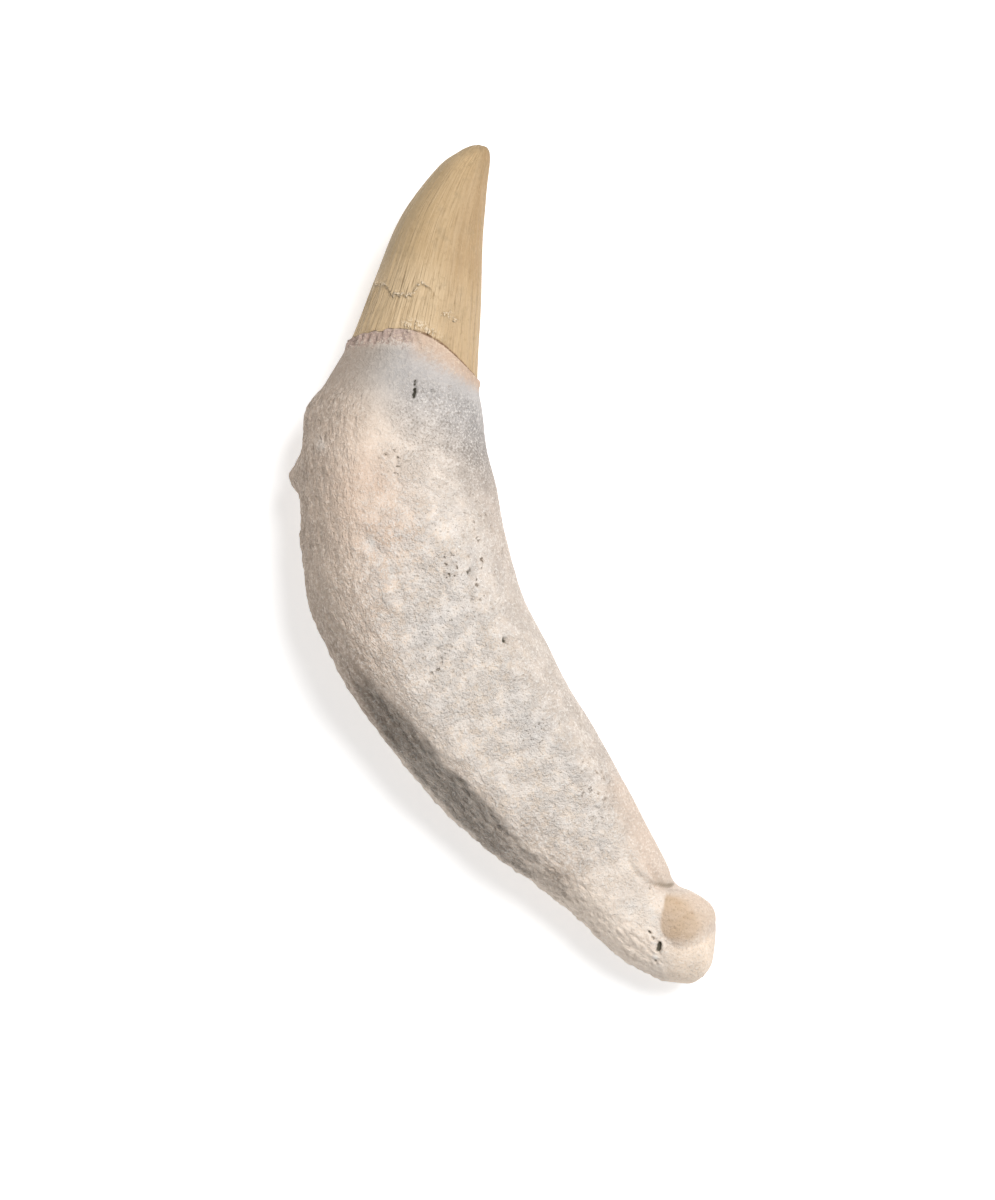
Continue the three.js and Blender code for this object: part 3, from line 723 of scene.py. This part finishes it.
def root_colour(nodes, place, clumps, grain, fibres):
    """Cream cementum, pinkish on the belly, grey below the gum line and in patches, with painted shade along
    the right edge, towards the left edge and in the stain's left side, and brown with painted shade on the
    flank. Pale flakes with painted highlights on crumb tops, hollows with painted shade and dark specks break
    it up, and on the flank fibres carry painted glints with painted shade between them."""
    patches = nodes.noise(place, 0.5, 4.0, 0.65)
    mottle = nodes.noise(place, 1.5, 3.0, 0.6)
    coarse, sandy, flank = nodes.field("coarse"), nodes.field("sandy"), nodes.field("flank")
    pink = nodes.times(nodes.field("pink"), nodes.between(patches, 0.3, 0.6, 0.7, 1.0))
    loose = nodes.times(nodes.between(patches, 0.55, 0.7, 0, 0.3), coarse)
    grey = nodes.times(nodes.field("grey"), nodes.between(patches, 0.4, 0.6, 0.25, 0.85))
    grey = nodes.math("MAXIMUM", grey, loose)
    mottled = nodes.times(nodes.between(mottle, 0.56, 0.49), nodes.between(coarse, 0.2, 0.9, 0, 0.45))
    darker = nodes.times(nodes.times(grey, nodes.between(mottle, 0.5, 0.4)), 0.15)
    stain = nodes.times(nodes.field("stain"), nodes.between(patches, 0.2, 0.5, 0.9, 1.0))
    # The grey stain is darkened towards the left edge with painted shade.
    stain_with_left_shade = nodes.mix(nodes.between(nodes.field("left_side"), -0.2, 0.8), ROOT_STAIN, ROOT_STAIN_WITH_SHADE)
    root = nodes.layered(
        nodes.mix(pink, ROOT_CREAM, ROOT_PINK),
        (grey, ROOT_COOL),
        (mottled, ROOT_COOL),
        (darker, ROOT_STAIN),
        (nodes.times(sandy, 0.5), ROOT_SANDY),
        # Painted shade along the right edge of the root.
        (nodes.field("right_edge_shade"), ROOT_EDGE_SHADE),
        (nodes.times(stain, nodes.between(clumps, 0.7, 0.4, 0.8, 0.97)), stain_with_left_shade),
        # Brown with painted shade on the flank and towards the left edge.
        (nodes.times(nodes.field("brown"), nodes.between(clumps, 0.4, 0.62, 0.98, 0.7)), ROOT_BROWN_AND_SHADE),
    )
    rough = nodes.times(nodes.between(coarse, 0.1, 0.8, 0.3, 1.0), nodes.between(stain, 0, 1, 1.0, 0.2))
    rough = nodes.math("MAXIMUM", rough, flank)
    bright = nodes.times(nodes.between(grain, 0.42, 0.31, 0, 0.8), rough)
    bright_sand = nodes.times(nodes.between(grain, 0.46, 0.34, 0, 0.5), sandy)
    specks = nodes.times(nodes.between(grain, 0.62, 0.71, 0, 0.75), nodes.between(grey, 0, 0.8, 0.5, 1.0))
    dark_sand = nodes.times(nodes.between(grain, 0.55, 0.68, 0, 0.42), sandy)
    return nodes.layered(
        root,
        # Pale flakes on the crumbs' tops and darker hollows between them: painted highlight and painted
        # shade.
        (nodes.times(nodes.between(clumps, 0.5, 0.63, 0, 0.6), rough), ROOT_FLAKE_AND_LIGHT),
        (nodes.times(nodes.between(clumps, 0.44, 0.31, 0, 0.18), rough), ROOT_HOLLOW_SHADE),
        (nodes.math("MAXIMUM", bright, bright_sand), ROOT_FLAKE_AND_LIGHT),
        (nodes.math("MAXIMUM", nodes.times(specks, rough), dark_sand), ROOT_SPECK),
        # Painted shade in the flank's cracks, painted glints on its fibres and painted shade between them.
        (nodes.times(nodes.field("crack"), 0.38), ROOT_CRACK_SHADE),
        (nodes.times(nodes.between(fibres, 0.53, 0.62, 0, 0.65), flank), ROOT_FLANK_GLINT),
        (nodes.times(nodes.between(fibres, 0.47, 0.38, 0, 0.3), flank), ROOT_CRACK_SHADE),
        # Pale flakes, and painted light on the lip's left part.
        (nodes.times(nodes.field("pale"), nodes.between(clumps, 0.3, 0.5)), ROOT_FLAKE_AND_LIGHT),
    )


def knob_colour(nodes, root, place, clumps, grain):
    """Smooth pinkish skin over the ridge, paler on the lip, and the dome's bare dentine in mottled tans."""
    smooth = nodes.times(nodes.field("smooth"), nodes.between(clumps, 0.35, 0.62, 0.9, 0.55))
    mottle = nodes.noise(place, 0.9, 5.0, 0.65)
    skin = nodes.layered(
        nodes.mix(nodes.field("lip"), SMOOTH_SKIN, LIP_SKIN),
        # Dark and pale grain specks, in tones borrowed from the root.
        (nodes.between(grain, 0.54, 0.7, 0, 0.35), ROOT_STAIN_WITH_SHADE),
        (nodes.between(grain, 0.46, 0.3, 0, 0.4), ROOT_FLAKE_AND_LIGHT),
    )
    tan = nodes.layered(
        nodes.mix(nodes.between(mottle, 0.42, 0.68, 0, 0.7), DENTINE_TAN, DENTINE_PALE),
        (nodes.between(grain, 0.56, 0.72, 0, 0.25), PIT_BROWN),
        (nodes.between(clumps, 0.66, 0.76, 0, 0.3), PIT_BROWN),
    )
    return nodes.layered(root, (smooth, skin), (nodes.times(nodes.field("dome"), 0.95), tan))


def collar_colour(nodes, root, clumps, grain, from_gum, left_side):
    """The rim of the root: mauve beads with painted shade in the gaps on the left, a pink band fading out on
    the right, and painted highlights on both.
    """
    edge = nodes.math("ADD", from_gum, nodes.between(clumps, 0.3, 0.7, -0.3, 0.3))
    left_half = nodes.between(left_side, -0.1, 0.2)
    soft = nodes.between(edge, 0.2, 1.7, 0.8, 0.0)
    wide = nodes.between(edge, 0.5, 0.95, 0.85, 0.0)
    share = nodes.blend(left_half, soft, wide)
    bead_gap_shade = nodes.times(nodes.between(clumps, 0.48, 0.38, 0, 0.3), share)
    return nodes.layered(
        root,
        (share, nodes.mix(left_half, COLLAR_PINK, COLLAR_MAUVE)),
        # Painted shade between the beads, then painted highlights on them.
        (nodes.times(bead_gap_shade, left_half), COLLAR_SHADE),
        (nodes.times(nodes.between(grain, 0.42, 0.3, 0, 0.6), share), ENAMEL_CHIP_AND_GLINT),
    )


def enamel_colour(nodes, place, straight, clumps, grain, from_gum, left_side):
    """Tan enamel, paler near the gum line, olive with painted shade along the left edge and rusty along the
    right one, with broad and hairline streaks, cloudy mottling and pale granules with painted glints where it
    is broken."""
    broad = nodes.noise(nodes.stretched(straight, (1.0, 0.1, 1.0)), 0.6, 3.0, 0.6)
    streaks = nodes.noise(nodes.stretched(straight, (1.0, 0.06, 1.0)), 2.2, 3.0, 0.65)
    hairs = nodes.noise(nodes.stretched(straight, (1.0, 0.07, 1.0)), 6.0, 1.0, 0.5)
    clouds = nodes.noise(place, 0.8, 4.0, 0.65)
    near_gum = nodes.between(from_gum, -7.5, -3.5)
    edged = nodes.between(near_gum, 0, 1, 1, 0.5)
    streaked = nodes.between(near_gum, 0, 1, 0.6, 1.0)
    enamel = nodes.layered(
        nodes.mix(near_gum, ENAMEL_TAN, ENAMEL_BASE),
        # Olive tone with painted shade along the left edge.
        (nodes.times(nodes.between(left_side, 0.2, 1.0, 0, 0.95), edged), ENAMEL_OLIVE_AND_SHADE),
        (nodes.times(nodes.between(left_side, -0.05, -0.6, 0, 0.85), edged), ENAMEL_RUST),
        (nodes.between(broad, 0.5, 0.7, 0, 0.45), ENAMEL_PALE),
        (nodes.between(clouds, 0.5, 0.3, 0, 0.45), ENAMEL_OLIVE_AND_SHADE),
        (nodes.times(nodes.between(streaks, 0.47, 0.3, 0, 0.5), streaked), ENAMEL_DARK),
        (nodes.times(nodes.between(hairs, 0.58, 0.72, 0, 0.5), streaked), ENAMEL_PALE),
        (nodes.times(nodes.between(hairs, 0.36, 0.26, 0, 0.6), streaked), ENAMEL_DARK),
        (nodes.between(clumps, 0.52, 0.7, 0, 0.35), ENAMEL_PALE),
        (nodes.between(clumps, 0.46, 0.32, 0, 0.35), ENAMEL_DARK),
        # Pale broken enamel with painted glints on its granules.
        (nodes.times(nodes.field("chipped"), nodes.between(grain, 0.53, 0.43, 0, 1.0)), ENAMEL_CHIP_AND_GLINT),
    )
    return enamel, streaks, hairs


def tiny_pores(nodes, place):
    """Round pores in some of the cells of space bent by noise, where the field asks for them, with a halo."""
    wander = nodes.add("ShaderNodeTexNoise", {"Vector": place, "Scale": 3.0, "Detail": 2.0}).outputs["Color"]
    bent = nodes.add("ShaderNodeVectorMath", {0: nodes.stretched(wander, (0.7, 0.7, 0.7)), 1: place})
    cells = nodes.add("ShaderNodeTexVoronoi", {"Vector": bent.outputs[0], "Scale": 2.0})
    chosen = nodes.times(nodes.between(cells.outputs["Color"], 0.5, 0.58), nodes.field("pitted"))
    halo = nodes.times(nodes.between(cells.outputs["Distance"], 0.2, 0.6, 0.4, 0), chosen)
    return halo, nodes.times(nodes.between(cells.outputs["Distance"], 0.14, 0.3, 1, 0), chosen)


def root_bumps(nodes, place, clumps, grain, fibres, pores):
    """Crumbs that flake in patches, higher where the skin is coarse, on the flank and where it is sandy, the
    fibres of the bark, and the hollows of the tiny pores."""
    flaking = nodes.between(nodes.noise(place, 0.9, 2.0), 0.35, 0.62, 0.6, 1.1)
    crumbs = nodes.times(nodes.plus(clumps, grain, -0.3), flaking)
    height = nodes.between(nodes.field("coarse"), 0, 1, 0.25, 0.8)
    for name, gain in (("smooth", -0.2), ("flank", 1.3), ("sandy", 0.3)):
        height = nodes.plus(height, nodes.field(name), gain)
    crumbs = nodes.times(crumbs, nodes.math("MAXIMUM", height, 0.2))
    skin = nodes.plus(crumbs, fibres, nodes.times(nodes.field("bark"), 1.7))
    return nodes.plus(skin, pores, -0.5)


def enamel_bumps(nodes, grain, streaks, hairs, from_gum):
    """Streaks and hairlines, twice as deep near the gum line, and granules where the enamel is broken."""
    ribs = nodes.plus(nodes.times(streaks, 0.2), hairs, 0.12)
    ribs = nodes.times(ribs, nodes.between(from_gum, -6.5, -4, 1.0, 2.0))
    granules = nodes.times(nodes.field("chipped"), nodes.math("SUBTRACT", 1.0, grain))
    return nodes.plus(ribs, granules, 0.5)


def tooth_material():
    """The whole tooth's finish: the colours above, parted by a dark line at the gum on the right, the pores,
    painted shade in the pits and the crease, and the fine bumps."""
    material = bpy.data.materials.new("enamel_and_cementum")
    material.use_nodes = True
    nodes = Nodes(material)
    place = nodes.add("ShaderNodeTexCoord", {}).outputs["Object"]
    place = nodes.stretched(place, (1 / MM, 1 / MM, 1 / MM))
    straight = nodes.field("straight", "Vector")
    from_gum, left_side = nodes.field("from_gum"), nodes.field("left_side")
    clumps = nodes.noise(place, CLUMPS_PER_MM, 4.0, 0.7)
    grain = nodes.noise(place, GRAINS_PER_MM, 1.0, 0.6)
    fibres = nodes.noise(nodes.stretched(straight, (1.0, 0.4, 1.0)), FIBRES_PER_MM, 3.0, 0.8)

    root = knob_colour(nodes, root_colour(nodes, place, clumps, grain, fibres), place, clumps, grain)
    root = collar_colour(nodes, root, clumps, grain, from_gum, left_side)
    enamel, streaks, hairs = enamel_colour(nodes, place, straight, clumps, grain, from_gum, left_side)
    is_root = nodes.between(from_gum, -0.02, 0.06)
    gum_line = nodes.between(nodes.math("ABSOLUTE", from_gum), 0.03, 0.13, 1, 0)
    line_share = nodes.times(nodes.between(left_side, 0.15, -0.15, 0.0, 0.85), nodes.between(grain, 0.3, 0.5))
    halo, pores = tiny_pores(nodes, place)
    colour = nodes.layered(
        nodes.mix(is_root, enamel, root),
        (nodes.times(gum_line, line_share), GUM_DARK),
        (halo, DENTINE_TAN),
        (nodes.times(pores, 0.9), PIT_BROWN),
        # Painted shade in the crease and on the ridge's end above it.
        (nodes.times(nodes.field("crease"), 0.7), CREASE_SHADE),
        # Painted shade in the pits, darker with their depth.
        (nodes.between(nodes.field("pit"), 0.08, 0.26, 0, 0.95), PIT_SHADE),
    )
    enamel_rough = nodes.between(streaks, 0.3, 0.7, 0.58, 0.48)
    root_rough = nodes.between(clumps, 0.3, 0.7, 0.72, 0.9)
    skin = root_bumps(nodes, place, clumps, grain, fibres, pores)
    heights = nodes.blend(is_root, enamel_bumps(nodes, grain, streaks, hairs, from_gum), skin)
    bump = nodes.add("ShaderNodeBump", {"Height": heights, "Strength": 1.0, "Distance": BUMP_HEIGHT})

    bsdf = material.node_tree.nodes["Principled BSDF"]
    links = material.node_tree.links
    links.new(colour, bsdf.inputs["Base Color"])
    links.new(nodes.blend(is_root, enamel_rough, root_rough), bsdf.inputs["Roughness"])
    links.new(bump.outputs[0], bsdf.inputs["Normal"])
    bsdf.inputs["Specular IOR Level"].default_value = TOOTH_SPECULAR
    return material


tooth.data.materials.append(tooth_material())
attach(tooth, "root")
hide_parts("tooth")


# The table and the studio.
# The tooth lies on a plain white light table, whose faint glow keeps the shadow pale. A soft lamp from the
# upper right lights it, and the white room fills in.
TABLE_SIZE = 3.0
TABLE_WHITE, TABLE_SHADE = (250, 250, 250), (247, 247, 247)
TABLE_CLOUDS_PER_METRE = 60.0
TABLE_ROUGHNESS, TABLE_GLOW = 0.9, 0.45


def build_table():
    """One square face at floor level, in white paper with faint clouds."""
    half = TABLE_SIZE / 2
    corners = np.array([[-half, -half, 0], [half, -half, 0], [half, half, 0], [-half, half, 0]])
    mesh = bpy.data.meshes.new("table_top")
    mesh.from_pydata(corners, [], [(0, 1, 2, 3)])
    material = bpy.data.materials.new("matt_white_paper")
    material.use_nodes = True
    nodes = Nodes(material)
    bsdf = material.node_tree.nodes["Principled BSDF"]
    place = nodes.add("ShaderNodeTexCoord", {}).outputs["Object"]
    tone = nodes.mix(nodes.noise(place, TABLE_CLOUDS_PER_METRE), TABLE_WHITE, TABLE_SHADE)
    material.node_tree.links.new(tone, bsdf.inputs["Base Color"])
    bsdf.inputs["Roughness"].default_value = TABLE_ROUGHNESS
    bsdf.inputs["Emission Color"].default_value = (1, 1, 1, 1)
    bsdf.inputs["Emission Strength"].default_value = TABLE_GLOW
    mesh.materials.append(material)
    return bpy.data.objects.new("table", mesh)


table = build_table()
bpy.context.scene.collection.objects.link(table)

LAMP_TOWARDS = (0.206, 0.112, 0.4415)
LAMP_SIZE, LAMP_WATTS = 0.2, 2.0
ROOM_LIGHT = 0.36

lamp_data = bpy.data.lights.new("soft_lamp", "AREA")
lamp_data.shape = "DISK"
lamp_data.size = LAMP_SIZE
lamp_data.energy = LAMP_WATTS
lamp = bpy.data.objects.new("soft_lamp", lamp_data)
lamp.location = LAMP_TOWARDS
lamp.rotation_euler = (-lamp.location).to_track_quat("-Z", "Y").to_euler()
bpy.context.scene.collection.objects.link(lamp)

world = bpy.data.worlds.new("white_room")
world.use_nodes = True
world.node_tree.nodes["Background"].inputs["Color"].default_value = (1, 1, 1, 1)
world.node_tree.nodes["Background"].inputs["Strength"].default_value = ROOM_LIGHT
bpy.context.scene.world = world
bpy.context.scene.view_settings.view_transform = "Standard"


# The camera.
# It looks straight down through a long lens, as the photograph seems to, and is turned so that the tooth
# leans in the frame as it does there.
LENS = 100
VIEW_HEIGHT = 83.08 * MM
SENSOR = 36
NEAREST_SEEN = 0.01
EDGE_LEVEL = 6 * MM
VIEW_CENTRE = (1.843 * MM, -0.832 * MM)
VIEW_ROLL = np.radians(-14.5)

camera_data = bpy.data.cameras.new("camera")
camera_data.lens = LENS
camera_data.sensor_width = SENSOR
camera_data.clip_start = NEAREST_SEEN
camera = bpy.data.objects.new("camera", camera_data)
camera.location = (*VIEW_CENTRE, EDGE_LEVEL + VIEW_HEIGHT * LENS / SENSOR)
camera.rotation_euler = (0, 0, VIEW_ROLL)
bpy.context.scene.collection.objects.link(camera)
bpy.context.scene.camera = camera
